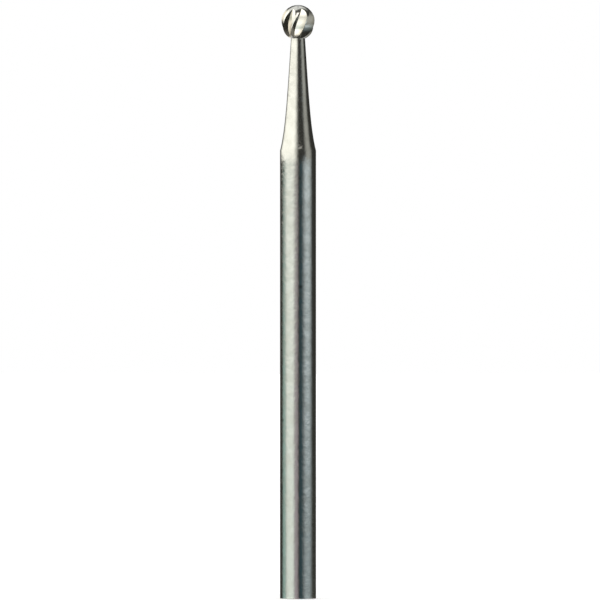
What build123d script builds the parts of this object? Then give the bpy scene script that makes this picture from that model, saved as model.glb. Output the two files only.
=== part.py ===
from build123d import *
import os
from math import cos, degrees, radians, sin, sqrt, tan

# Ball-headed engraving cutter, ground from one steel blank and standing on the flat end of its shank.
# The axis is +Z, and the origin is the centre of the flat end.

# Shank
shank_diameter = 2.38
shank_length = 29.61
end_break = 0.02

# Neck: from the foot of the head it widens slowly, then flares out to the shoulder
neck_length = 7.42
neck_top_diameter = 0.93
neck_top_angle = 3.7
neck_top_pull = 3.99
shoulder_angle = 14.0
shoulder_pull = 1.41

# Head: two half balls with a short straight belt between them
head_diameter = 2.22
belt_width = 0.10

# Flutes: saw-tooth grooves that climb the head to the right and run out below a round tip land
flute_count = 8
flute_depth = 0.26
deepest_latitude = 8.0
helix_angle = 25.0
rake_wall_angle = 37.0
back_slope_angle = 79.0
tip_land_radius = 0.74
foot_bite = 0.01
foot_runout = 0.12
first_flute_azimuth = -93.5

# Heights along the axis
shank_radius = shank_diameter / 2
head_radius = head_diameter / 2
neck_top_radius = neck_top_diameter / 2
foot_drop = sqrt(head_radius**2 - neck_top_radius**2)
foot_height = shank_length + neck_length
lower_centre = foot_height + foot_drop
upper_centre = lower_centre + belt_width
belt_middle = lower_centre + belt_width / 2
overall_length = upper_centre + head_radius

# Controls of the neck's curve, in the plane of radius and height
neck_top = (neck_top_radius, foot_height)
neck_pull_point = (
    neck_top_radius + neck_top_pull * tan(radians(neck_top_angle)),
    foot_height - neck_top_pull,
)
shoulder_pull_point = (
    shank_radius - shoulder_pull * tan(radians(shoulder_angle)),
    shank_length + shoulder_pull,
)
shoulder = (shank_radius, shank_length)

# Floor of the flutes: one arc from the neck, under the belt, to the tip land
tip_land_height = upper_centre + sqrt(head_radius**2 - tip_land_radius**2)
deepest_radius = (head_radius - flute_depth) * cos(radians(deepest_latitude))
deepest_height = lower_centre + (head_radius - flute_depth) * sin(radians(deepest_latitude))
floor_arc = ThreePointArc(
    (neck_top_radius - foot_bite, foot_height),
    (deepest_radius, deepest_height),
    (tip_land_radius, tip_land_height),
)
floor_centre = floor_arc.arc_center
floor_radius = floor_arc.radius


def floor_radius_at(height):
    return floor_centre.X + sqrt(floor_radius**2 - (height - floor_centre.Y) ** 2)


# One flute: triangles across the axis, each turned a little further than the one below it
flute_stations = 9
flute_reach = 0.75 * head_radius
flute_top = tip_land_height + 0.15 * head_radius
twist_per_mm = degrees(tan(radians(helix_angle)) / head_radius)
clear_of_neck = 0.02


def flute_section(height, floor):
    azimuth = first_flute_azimuth + twist_per_mm * (height - belt_middle)
    across = Plane((0, 0, height), x_dir=Vector(1, 0, 0).rotate(Axis.Z, azimuth), z_dir=(0, 0, 1))
    with BuildSketch(across) as section:
        Polygon(
            (floor, 0),
            (floor + flute_reach, -flute_reach * tan(radians(rake_wall_angle))),
            (floor + flute_reach, flute_reach * tan(radians(back_slope_angle))),
            align=None,
        )
    return section.sketch


with BuildPart() as flute:
    climb = []
    for station in range(flute_stations):
        height = foot_height + (flute_top - foot_height) * station / (flute_stations - 1)
        climb.append(flute_section(height, floor_radius_at(height)))
    loft(climb)
    loft([
        flute_section(foot_height - foot_runout, neck_top_radius + clear_of_neck),
        climb[0],
    ])

with BuildPart() as cutter:
    with BuildSketch(Plane.XZ):
        with BuildLine():
            Line((0, 0), (shank_radius, 0))
            Line((shank_radius, 0), shoulder)
            Bezier(shoulder, shoulder_pull_point, neck_pull_point, neck_top)
            RadiusArc(neck_top, (head_radius, lower_centre), -head_radius)
            Line((head_radius, lower_centre), (head_radius, upper_centre))
            RadiusArc((head_radius, upper_centre), (0, overall_length), -head_radius)
            Line((0, overall_length), (0, 0))
        make_face()
    revolve(axis=Axis.Z)
    chamfer(cutter.edges().group_by(Axis.Z)[0], end_break)
    with PolarLocations(0, flute_count):
        add(flute.part, mode=Mode.SUBTRACT)

cutter.part.label = "cutter"

os.makedirs("parts", exist_ok=True)
export_step(cutter.part, "parts/cutter.step")
print("overall length", round(overall_length, 3))
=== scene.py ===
import bpy
from math import acos, cos, pi, radians, sin, sqrt, tan
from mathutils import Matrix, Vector


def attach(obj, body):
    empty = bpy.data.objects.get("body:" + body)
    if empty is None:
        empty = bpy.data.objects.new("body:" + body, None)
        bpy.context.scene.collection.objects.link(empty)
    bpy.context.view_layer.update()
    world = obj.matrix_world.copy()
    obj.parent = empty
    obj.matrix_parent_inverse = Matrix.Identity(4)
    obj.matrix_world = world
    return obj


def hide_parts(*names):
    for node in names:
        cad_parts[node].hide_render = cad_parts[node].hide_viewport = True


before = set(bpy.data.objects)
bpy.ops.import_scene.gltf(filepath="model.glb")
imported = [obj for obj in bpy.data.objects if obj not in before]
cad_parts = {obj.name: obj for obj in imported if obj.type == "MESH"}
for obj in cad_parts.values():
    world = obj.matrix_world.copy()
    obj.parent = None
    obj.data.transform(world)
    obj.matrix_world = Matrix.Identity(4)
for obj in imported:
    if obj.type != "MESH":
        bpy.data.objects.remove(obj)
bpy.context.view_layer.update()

mm = 0.001


def deselectAll():
    if bpy.context.object and bpy.context.object.mode != "OBJECT":
        bpy.ops.object.mode_set(mode="OBJECT")
    bpy.ops.object.select_all(action="DESELECT")


def pick(obj):
    deselectAll()
    obj.select_set(True)
    bpy.context.view_layer.objects.active = obj


# The turned blank: shank, neck and ball head, one profile spun about the axis
blank = {
    "shankRadius": 1.19,
    "shankLength": 29.61,
    "endBreak": 0.02,
    "neckLength": 7.42,
    "neckTopRadius": 0.465,
    "neckTopAngle": 3.7,
    "neckTopPull": 3.99,
    "shoulderAngle": 14.0,
    "shoulderPull": 1.41,
    "headRadius": 1.11,
    "beltWidth": 0.10,
    "rowsPerSpan": 32,
    "columns": 192,
    "smoothAngle": 22,
}
headRadius = blank["headRadius"]
neckTop = blank["neckTopRadius"]
footHeight = blank["shankLength"] + blank["neckLength"]
lowerCentre = footHeight + sqrt(headRadius ** 2 - neckTop ** 2)
upperCentre = lowerCentre + blank["beltWidth"]
tipHeight = upperCentre + headRadius


def straight(a, b):
    third = (Vector(b) - Vector(a)) / 3
    return a, Vector(a) + third, Vector(b) - third, b


def arcSpan(centre, start, end):  # angles are measured up from the radius
    pull = 4 / 3 * tan((end - start) / 4) * headRadius
    a = Vector((headRadius * cos(start), centre + headRadius * sin(start)))
    b = Vector((headRadius * cos(end), centre + headRadius * sin(end)))
    return a, a + pull * Vector((-sin(start), cos(start))), b - pull * Vector((-sin(end), cos(end))), b


def profileSpans():
    r = blank["shankRadius"]
    endBreak = blank["endBreak"]
    shoulder = (r, blank["shankLength"])
    shoulderPull, neckTopPull = blank["shoulderPull"], blank["neckTopPull"]
    footAngle = -acos(neckTop / headRadius)
    return [
        straight((0, 0), (r - endBreak, 0)),
        straight((r - endBreak, 0), (r, endBreak)),
        straight((r, endBreak), shoulder),
        (
            shoulder,
            (r - shoulderPull * tan(radians(blank["shoulderAngle"])), shoulder[1] + shoulderPull),
            (neckTop + neckTopPull * tan(radians(blank["neckTopAngle"])), footHeight - neckTopPull),
            (neckTop, footHeight),
        ),
        arcSpan(lowerCentre, footAngle, 0),
        straight((headRadius, lowerCentre), (headRadius, upperCentre)),
        arcSpan(upperCentre, 0, pi / 2),
    ]


def place(point):
    return point[0] * mm, 0, point[1] * mm


def makeBlank():
    deselectAll()
    bpy.ops.curve.primitive_bezier_curve_add(radius=mm)
    profile = bpy.context.object
    profile.name = "turnedCutter"
    spans = profileSpans()
    spline = profile.data.splines[0]
    spline.bezier_points.add(len(spans) + 1 - len(spline.bezier_points))
    for point in spline.bezier_points:
        point.handle_left_type = point.handle_right_type = "FREE"
    for i, (a, pullA, pullB, b) in enumerate(spans):
        here, there = spline.bezier_points[i], spline.bezier_points[i + 1]
        here.co, there.co = place(a), place(b)
        here.handle_right, there.handle_left = place(pullA), place(pullB)
    spline.resolution_u = blank["rowsPerSpan"]
    bpy.ops.object.convert(target="MESH")
    bpy.ops.object.mode_set(mode="EDIT")
    bpy.ops.mesh.select_all(action="SELECT")
    bpy.ops.mesh.spin(steps=blank["columns"], angle=2 * pi, center=(0, 0, 0), axis=(0, 0, 1))
    bpy.ops.mesh.select_all(action="SELECT")
    bpy.ops.mesh.remove_doubles(threshold=1e-7)
    bpy.ops.mesh.normals_make_consistent(inside=False)
    bpy.ops.object.mode_set(mode="OBJECT")
    return profile


cutterBody = makeBlank()
print("blank turned,", len(cutterBody.data.polygons), "faces")

# The grinding shape of one flute: a triangle across the axis, run up the head with a twist
flute = {
    "count": 8,
    "depth": 0.26,
    "deepestLatitude": 8.0,
    "helixAngle": 25.0,
    "rakeWallAngle": 37.0,
    "backSlopeAngle": 79.0,
    "tipLandRadius": 0.74,
    "footBite": 0.01,
    "footRunout": 0.12,
    "clearOfNeck": 0.02,
    "firstAzimuth": -93.5,
    "steps": 40,
    "reach": 0.75,
    "overshoot": 0.15,
}


def circleThrough(a, b, c):
    (ax, ay), (bx, by), (cx, cy) = a, b, c
    d = 2 * (ax * (by - cy) + bx * (cy - ay) + cx * (ay - by))
    aa, bb, cc = ax * ax + ay * ay, bx * bx + by * by, cx * cx + cy * cy
    x = (aa * (by - cy) + bb * (cy - ay) + cc * (ay - by)) / d
    y = (aa * (cx - bx) + bb * (ax - cx) + cc * (bx - ax)) / d
    return x, y, sqrt((ax - x) ** 2 + (ay - y) ** 2)


tipLandHeight = upperCentre + sqrt(headRadius ** 2 - flute["tipLandRadius"] ** 2)
deepest = headRadius - flute["depth"]
floorX, floorZ, floorR = circleThrough(
    (neckTop - flute["footBite"], footHeight),
    (
        deepest * cos(radians(flute["deepestLatitude"])),
        lowerCentre + deepest * sin(radians(flute["deepestLatitude"])),
    ),
    (flute["tipLandRadius"], tipLandHeight),
)


def floorAt(height):
    return floorX + sqrt(floorR ** 2 - (height - floorZ) ** 2)


def makeFluteShape():
    top = tipLandHeight + flute["overshoot"] * headRadius
    heights = [footHeight + (top - footHeight) * i / flute["steps"] for i in range(flute["steps"] + 1)]
    stations = [(footHeight - flute["footRunout"], neckTop + flute["clearOfNeck"])]
    stations += [(h, floorAt(h)) for h in heights]
    reach = flute["reach"] * headRadius
    low, floor = stations[0]
    deselectAll()
    bpy.ops.mesh.primitive_circle_add(vertices=3, radius=reach * mm, fill_type="NGON", location=(0, 0, 0))
    shape = bpy.context.object
    shape.name = "fluteShape"
    corners = [
        (floor, 0),
        (floor + reach, -reach * tan(radians(flute["rakeWallAngle"]))),
        (floor + reach, reach * tan(radians(flute["backSlopeAngle"]))),
    ]
    for vertex, (x, y) in zip(shape.data.vertices, corners):
        vertex.co = x * mm, y * mm, low * mm
    turnPerMm = tan(radians(flute["helixAngle"])) / headRadius
    middle = (lowerCentre + upperCentre) / 2
    bpy.ops.object.mode_set(mode="EDIT")
    bpy.ops.mesh.select_all(action="SELECT")
    azimuth = radians(flute["firstAzimuth"]) + turnPerMm * (low - middle)
    bpy.ops.transform.rotate(value=-azimuth, orient_axis="Z", center_override=(0, 0, 0))
    for height, nextFloor in stations[1:]:
        step, out = height - low, nextFloor - floor
        bpy.ops.mesh.extrude_region_move(
            TRANSFORM_OT_translate={"value": (out * cos(azimuth) * mm, out * sin(azimuth) * mm, step * mm)}
        )
        bpy.ops.transform.rotate(value=-turnPerMm * step, orient_axis="Z", center_override=(0, 0, 0))
        azimuth += turnPerMm * step
        low, floor = height, nextFloor
    bpy.ops.mesh.select_all(action="SELECT")
    bpy.ops.mesh.normals_make_consistent(inside=False)
    bpy.ops.object.mode_set(mode="OBJECT")
    return shape


def grindFlutes(body):
    shape = makeFluteShape()
    for i in range(flute["count"]):
        pick(body)
        cut = body.modifiers.new("flute", "BOOLEAN")
        cut.operation = "DIFFERENCE"
        cut.solver = "EXACT"
        cut.object = shape
        bpy.ops.object.modifier_apply(modifier=cut.name)
        pick(shape)
        bpy.ops.object.mode_set(mode="EDIT")
        bpy.ops.mesh.select_all(action="SELECT")
        bpy.ops.transform.rotate(value=-2 * pi / flute["count"], orient_axis="Z", center_override=(0, 0, 0))
        bpy.ops.object.mode_set(mode="OBJECT")
    bpy.data.objects.remove(shape)


grindFlutes(cutterBody)
pick(cutterBody)
bpy.ops.object.shade_smooth_by_angle(angle=radians(blank["smoothAngle"]))
print("flutes ground,", len(cutterBody.data.polygons), "faces")

# Ground steel: distances in mm, heights of the relief in thousandths of a mm
steel = {
    "colour": (0.80, 0.80, 0.79),
    "dullColour": (0.70, 0.70, 0.68),
    "speckColour": (0.45, 0.45, 0.43),
    # painted highlight: the head is coloured paler than the shank so its highlights come out white
    "headHighlightColour": (0.92, 0.91, 0.88),
    # painted shade: a darker, browner colour for the flutes' rake walls
    "wallShadeColour": (0.58, 0.55, 0.49),
    "wornColour": (0.93, 0.93, 0.91),
    "roughness": (0.14, 0.21),
    "wallRoughness": 0.22,
    "patchScale": 1.5,
    "dullFrom": (0.38, 0.68),
    "roughFrom": (0.35, 0.7),
    "waveScale": 2.6,
    "waveHeight": 11,
    "headCalm": 0.08,
    "grainScale": 8,
    "grainHeight": 2.2,
    "markScale": 26,
    "markHeight": 1.0,
    "markSquash": 0.04,
    "speckScale": 0.9,
    "speckShare": 0.16,
    "speckSize": (0.14, 0.06),
    "wallLean": (0.86, 0.72),
    "footFade": 0.12,
    "edgeFrom": 0.96,
    "endRub": (0.16, 0.03),
}


def newMaterial(name):
    material = bpy.data.materials.new(name)
    material.use_nodes = True
    return material, material.node_tree.nodes, material.node_tree.links


def addNode(nodes, kind, x, y, **values):
    node = nodes.new("ShaderNode" + kind)
    node.location = (x, y)
    for name, value in values.items():
        setattr(node, name, value)
    return node


def addNoise(nodes, links, vector, x, y, scale, detail):
    noise = addNode(nodes, "TexNoise", x, y)
    noise.inputs["Scale"].default_value = scale
    noise.inputs["Detail"].default_value = detail
    links.new(vector, noise.inputs["Vector"])
    return noise.outputs["Fac"]


def addRange(nodes, links, value, x, y, low, high, toLow=0.0, toHigh=1.0):
    span = addNode(nodes, "MapRange", x, y)
    span.inputs["From Min"].default_value = low
    span.inputs["From Max"].default_value = high
    span.inputs["To Min"].default_value = toLow
    span.inputs["To Max"].default_value = toHigh
    links.new(value, span.inputs["Value"])
    return span.outputs["Result"]


def addFade(nodes, links, value, x, y, dark, full):
    result = addRange(nodes, links, value, x, y, dark, full)
    result.node.interpolation_type = "SMOOTHSTEP"
    return result


def addMix(nodes, links, factor, under, over, x, y):
    mix = addNode(nodes, "Mix", x, y, data_type="RGBA")
    links.new(factor, mix.inputs["Factor"])
    for socket, colour in ((mix.inputs["A"], under), (mix.inputs["B"], over)):
        if isinstance(colour, tuple):
            socket.default_value = (*colour, 1)
        else:
            links.new(colour, socket)
    return mix.outputs["Result"]


def addMath(nodes, links, operation, a, b, x, y):
    math = addNode(nodes, "Math", x, y, operation=operation)
    for socket, value in zip(math.inputs, (a, b)):
        if isinstance(value, (int, float)):
            socket.default_value = value
        else:
            links.new(value, socket)
    return math.outputs[0]


def addRelief(nodes, links, height, before, x, y, micrometres):
    bump = addNode(nodes, "Bump", x, y)
    bump.inputs["Distance"].default_value = micrometres * 1e-6
    links.new(height, bump.inputs["Height"])
    if before:
        links.new(before, bump.inputs["Normal"])
    return bump.outputs["Normal"]


def groundSteel():
    material, nodes, links = newMaterial("groundSteel")
    shader = nodes["Principled BSDF"]
    shader.inputs["Metallic"].default_value = 1
    coords = addNode(nodes, "TexCoord", -1800, 0)
    inMm = addNode(nodes, "VectorMath", -1600, 0, operation="SCALE")
    inMm.inputs["Scale"].default_value = 1000
    links.new(coords.outputs["Object"], inMm.inputs[0])
    spot = inMm.outputs[0]

    # the head's steep rake walls, told by how far their normal leans from the ball's; their colour gets painted
    # shade, their roughness is real
    outward = addNode(nodes, "VectorMath", -1400, 500, operation="SUBTRACT")
    links.new(spot, outward.inputs[0])
    outward.inputs[1].default_value = (0, 0, (lowerCentre + upperCentre) / 2)
    straightOut = addNode(nodes, "VectorMath", -1200, 600, operation="NORMALIZE")
    links.new(outward.outputs[0], straightOut.inputs[0])
    lean = addNode(nodes, "VectorMath", -1000, 600, operation="DOT_PRODUCT")
    links.new(straightOut.outputs[0], lean.inputs[0])
    links.new(coords.outputs["Normal"], lean.inputs[1])
    steep = addRange(nodes, links, lean.outputs["Value"], -800, 600, *steel["wallLean"])
    parts = addNode(nodes, "SeparateXYZ", -1400, 300)
    links.new(spot, parts.inputs[0])
    onHead = addRange(nodes, links, parts.outputs["Z"], -1200, 300, footHeight, footHeight + steel["footFade"])
    onWall = addMath(nodes, links, "MULTIPLY", steep, onHead, -600, 500)

    # rubbed bright: the cutting edges, which lie on the full ball, and the rim of the shank's end
    fromCentre = addNode(nodes, "VectorMath", -1200, 450, operation="LENGTH")
    links.new(outward.outputs[0], fromCentre.inputs[0])
    edgeFrom = headRadius * steel["edgeFrom"]
    fullBall = addRange(nodes, links, fromCentre.outputs["Value"], -1000, 400, edgeFrom, headRadius)
    edges = addMath(nodes, links, "MULTIPLY", fullBall, onHead, -800, 400)
    nearEnd = addRange(nodes, links, parts.outputs["Z"], -1000, 200, *steel["endRub"])
    worn = addMath(nodes, links, "MAXIMUM", edges, nearEnd, -600, 350)

    patches = addNoise(nodes, links, spot, -1200, 0, steel["patchScale"], 4)
    dull = addRange(nodes, links, patches, -1000, 0, *steel["dullFrom"])
    specks = addNode(nodes, "TexVoronoi", -1200, -250)
    specks.inputs["Scale"].default_value = steel["speckScale"]
    links.new(spot, specks.inputs["Vector"])
    small = addRange(nodes, links, specks.outputs["Distance"], -1000, -200, *steel["speckSize"])
    lot = addNode(nodes, "SeparateColor", -1000, -450)
    links.new(specks.outputs["Color"], lot.inputs[0])
    chosen = addMath(nodes, links, "LESS_THAN", lot.outputs[0], steel["speckShare"], -800, -400)
    speck = addMath(nodes, links, "MULTIPLY", small, chosen, -600, -300)

    colour = addMix(nodes, links, dull, steel["colour"], steel["dullColour"], -700, 200)
    colour = addMix(nodes, links, speck, colour, steel["speckColour"], -500, 200)
    # painted highlight: the whole head is coloured paler than the shank so its highlights come out white
    colour = addMix(nodes, links, onHead, colour, steel["headHighlightColour"], -420, 250)
    colour = addMix(nodes, links, worn, colour, steel["wornColour"], -350, 250)
    # painted shade: the rake walls are darkened in colour, standing in for the shade in the flutes
    colour = addMix(nodes, links, onWall, colour, steel["wallShadeColour"], -200, 300)
    links.new(colour, shader.inputs["Base Color"])

    roughness = addRange(nodes, links, patches, -700, -50, *steel["roughFrom"], *steel["roughness"])
    wallRoughness = addMath(nodes, links, "MULTIPLY", onWall, steel["wallRoughness"], -700, -150)
    roughness = addMath(nodes, links, "MAXIMUM", roughness, wallRoughness, -400, -50)
    links.new(roughness, shader.inputs["Roughness"])

    # relief: slow waves left by the grinding, fine grain, and turned marks round the axis
    # the small head is ground finer
    calm = addRange(nodes, links, onHead, -1200, -600, 0, 1, 1, steel["headCalm"])
    waves = addNoise(nodes, links, spot, -1200, -750, steel["waveScale"], 2)
    waves = addMath(nodes, links, "MULTIPLY", waves, calm, -1000, -650)
    grain = addNoise(nodes, links, spot, -1200, -900, steel["grainScale"], 3)
    grain = addMath(nodes, links, "MULTIPLY", grain, calm, -1000, -850)
    squash = addNode(nodes, "Mapping", -1200, -1050)
    squash.inputs["Scale"].default_value = (steel["markSquash"], steel["markSquash"], 1)
    links.new(spot, squash.inputs["Vector"])
    marks = addNoise(nodes, links, squash.outputs[0], -1000, -1050, steel["markScale"], 2)
    normal = addRelief(nodes, links, waves, None, -700, -650, steel["waveHeight"])
    normal = addRelief(nodes, links, grain, normal, -500, -700, steel["grainHeight"])
    normal = addRelief(nodes, links, marks, normal, -300, -750, steel["markHeight"])
    links.new(normal, shader.inputs["Normal"])
    return material


cutterBody.data.materials.clear()
cutterBody.data.materials.append(groundSteel())
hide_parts("cutter")
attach(cutterBody, "root")
print("steel on")

# Studio: a white floor, and a dark round tent whose panels of light give the steel its bands
studio = {
    "tentRadius": 0.5,
    "tentColour": (0.035, 0.035, 0.03),
    "floorSize": 4.0,
    "floorColour": (0.85, 0.85, 0.85),
    "floorRoughness": 0.9,
    "floorGlow": 0.3,
    "worldStrength": 1.0,
}
# Soft panels of light on the tent, each laid over the ones before it, all in degrees. Bearing 0 is the camera's
# side and + is right. A panel fades out by sideFade beyond halfWidth, and by riseFade below low and above high
panels = {
    "lowRoom": {
        "bearing": 180, "halfWidth": 40, "sideFade": 30, "low": -90, "high": -12, "riseFade": 8,
        "colour": (0.40, 0.40, 0.40),
    },
    "lowRight": {
        "bearing": 110, "halfWidth": 30, "sideFade": 40, "low": -60, "high": -8, "riseFade": 6,
        "colour": (0.30, 0.30, 0.27),
    },
    "roof": {
        "bearing": -140, "halfWidth": 60, "sideFade": 40, "low": 50, "high": 90, "riseFade": 12,
        "colour": (0.70, 0.70, 0.66),
    },
    "key": {
        "bearing": -76, "halfWidth": 40, "sideFade": 44, "low": 9, "high": 46, "riseFade": 5,
        "colour": (1.30, 1.28, 1.14),
    },
    "keyMiddle": {
        "bearing": -54, "halfWidth": 12, "sideFade": 50, "low": 2, "high": 6, "riseFade": 6,
        "colour": (0.98, 1.00, 0.90),
    },
    "keyLow": {
        "bearing": -52, "halfWidth": 8, "sideFade": 50, "low": -14, "high": -2, "riseFade": 7,
        "colour": (0.70, 0.78, 0.70),
    },
    "coolEdge": {
        "bearing": -100, "halfWidth": 2, "sideFade": 24, "low": -12, "high": 0, "riseFade": 6,
        "colour": (0.30, 0.44, 0.39),
    },
    "floorCard": {
        "bearing": -55, "halfWidth": 16, "sideFade": 16, "low": -42, "high": -10, "riseFade": 6,
        "colour": (1.70, 1.65, 1.50),
    },
    "coolGap": {
        "bearing": 20, "halfWidth": 6, "sideFade": 12, "low": -12, "high": 4, "riseFade": 5,
        "colour": (0.03, 0.06, 0.07),
    },
    "fillLow": {
        "bearing": 67, "halfWidth": 8, "sideFade": 38, "low": -12, "high": -1, "riseFade": 5,
        "colour": (0.25, 0.30, 0.31),
    },
    "fill": {
        "bearing": 62, "halfWidth": 6, "sideFade": 38, "low": 4, "high": 5, "riseFade": 6,
        "colour": (0.66, 0.74, 0.75),
    },
    "fillHigh": {
        "bearing": 72, "halfWidth": 6, "sideFade": 28, "low": 9, "high": 30, "riseFade": 5,
        "colour": (0.36, 0.36, 0.32),
    },
    "topFront": {
        "bearing": 8, "halfWidth": 14, "sideFade": 16, "low": 36, "high": 62, "riseFade": 6,
        "colour": (1.50, 1.45, 1.30),
    },
    "keyEdge": {
        "bearing": -12, "halfWidth": 4, "sideFade": 16, "low": -10, "high": 0, "riseFade": 6,
        "colour": (0.34, 0.29, 0.31),
    },
    "backCard": {
        "bearing": 180, "halfWidth": 1, "sideFade": 5, "low": -12, "high": 90, "riseFade": 6,
        "colour": (0.36, 0.36, 0.36),
    },
}


def tentLight():
    material, nodes, links = newMaterial("tentLight")
    nodes.clear()
    coords = addNode(nodes, "TexCoord", -1200, 0)
    parts = addNode(nodes, "SeparateXYZ", -1000, 0)
    links.new(coords.outputs["Object"], parts.inputs[0])
    toBack = addMath(nodes, links, "MULTIPLY", parts.outputs["Y"], -1, -800, 0)
    turn = addMath(nodes, links, "ARCTAN2", parts.outputs["X"], toBack, -600, 0)
    bearing = addMath(nodes, links, "DEGREES", turn, 0, -400, 0)
    share = addMath(nodes, links, "DIVIDE", parts.outputs["Z"], studio["tentRadius"], -800, -300)
    climb = addMath(nodes, links, "ARCSINE", share, 0, -600, -300)
    rise = addMath(nodes, links, "DEGREES", climb, 0, -400, -300)
    light = studio["tentColour"]
    for i, panel in enumerate(panels.values()):
        y = 300 * i
        turned = addMath(nodes, links, "SUBTRACT", bearing, panel["bearing"], -200, y)
        wrapped = addNode(nodes, "Math", -50, y, operation="WRAP")
        links.new(turned, wrapped.inputs[0])
        wrapped.inputs[1].default_value = 180
        wrapped.inputs[2].default_value = -180
        away = addMath(nodes, links, "ABSOLUTE", wrapped.outputs[0], 0, 100, y)
        side = panel["halfWidth"]
        across = addFade(nodes, links, away, 250, y, side + panel["sideFade"], side)
        above = addFade(nodes, links, rise, 250, y - 100, panel["low"] - panel["riseFade"], panel["low"])
        below = addFade(nodes, links, rise, 250, y - 200, panel["high"] + panel["riseFade"], panel["high"])
        within = addMath(nodes, links, "MULTIPLY", above, below, 400, y - 150)
        inside = addMath(nodes, links, "MULTIPLY", across, within, 550, y)
        light = addMix(nodes, links, inside, light, panel["colour"], 700, y)
    emission = addNode(nodes, "Emission", 900, 0)
    output = addNode(nodes, "OutputMaterial", 1100, 0)
    links.new(light, emission.inputs["Color"])
    links.new(emission.outputs[0], output.inputs["Surface"])
    return material


def makeTent():
    deselectAll()
    bpy.ops.mesh.primitive_uv_sphere_add(
        segments=96, ring_count=64, radius=studio["tentRadius"], location=(0, 0, 0)
    )
    tent = bpy.context.object
    tent.name = "lightTent"
    bpy.ops.object.shade_smooth()
    tent.data.materials.append(tentLight())
    tent.visible_camera = False
    tent.visible_diffuse = False
    tent.visible_shadow = False


def whiteFloor():
    material, nodes, links = newMaterial("whiteFloor")
    shader = nodes["Principled BSDF"]
    shader.inputs["Base Color"].default_value = (*studio["floorColour"], 1)
    shader.inputs["Roughness"].default_value = studio["floorRoughness"]
    shader.inputs["Emission Color"].default_value = (1, 1, 1, 1)
    # the floor shows white, and the object's shadow stays on it
    rays = addNode(nodes, "LightPath", -600, -300)
    seen = rays.outputs["Is Camera Ray"]
    for ray in ("Is Glossy Ray", "Is Transmission Ray"):
        seen = addMath(nodes, links, "MAXIMUM", seen, rays.outputs[ray], -400, -300)
    glow = addMath(nodes, links, "MULTIPLY", seen, studio["floorGlow"], -200, -300)
    links.new(glow, shader.inputs["Emission Strength"])
    return material


def makeFloor():
    deselectAll()
    bpy.ops.mesh.primitive_plane_add(size=studio["floorSize"], location=(0, 0, 0))
    floor = bpy.context.object
    floor.name = "studioFloor"
    floor.data.materials.append(whiteFloor())
    floor.visible_glossy = False


def makeWorld():
    world = bpy.data.worlds.new("whiteRoom")
    bpy.context.scene.world = world
    world.use_nodes = True
    background = world.node_tree.nodes["Background"]
    background.inputs["Color"].default_value = (1, 1, 1, 1)
    background.inputs["Strength"].default_value = studio["worldStrength"]


makeTent()
makeFloor()
makeWorld()

# Camera: level, straight on to the front
view = {
    "lens": 600,
    "sensorWidth": 36,
    "place": (0.00013, -0.6612, 0.01974),
    "clipStart": 0.01,
}
bpy.ops.object.camera_add(location=view["place"], rotation=(pi / 2, 0, 0))
camera = bpy.context.object
camera.data.lens = view["lens"]
camera.data.sensor_width = view["sensorWidth"]
camera.data.clip_start = view["clipStart"]
bpy.context.scene.camera = camera
bpy.context.scene.view_settings.view_transform = "Standard"
print("studio and camera set")
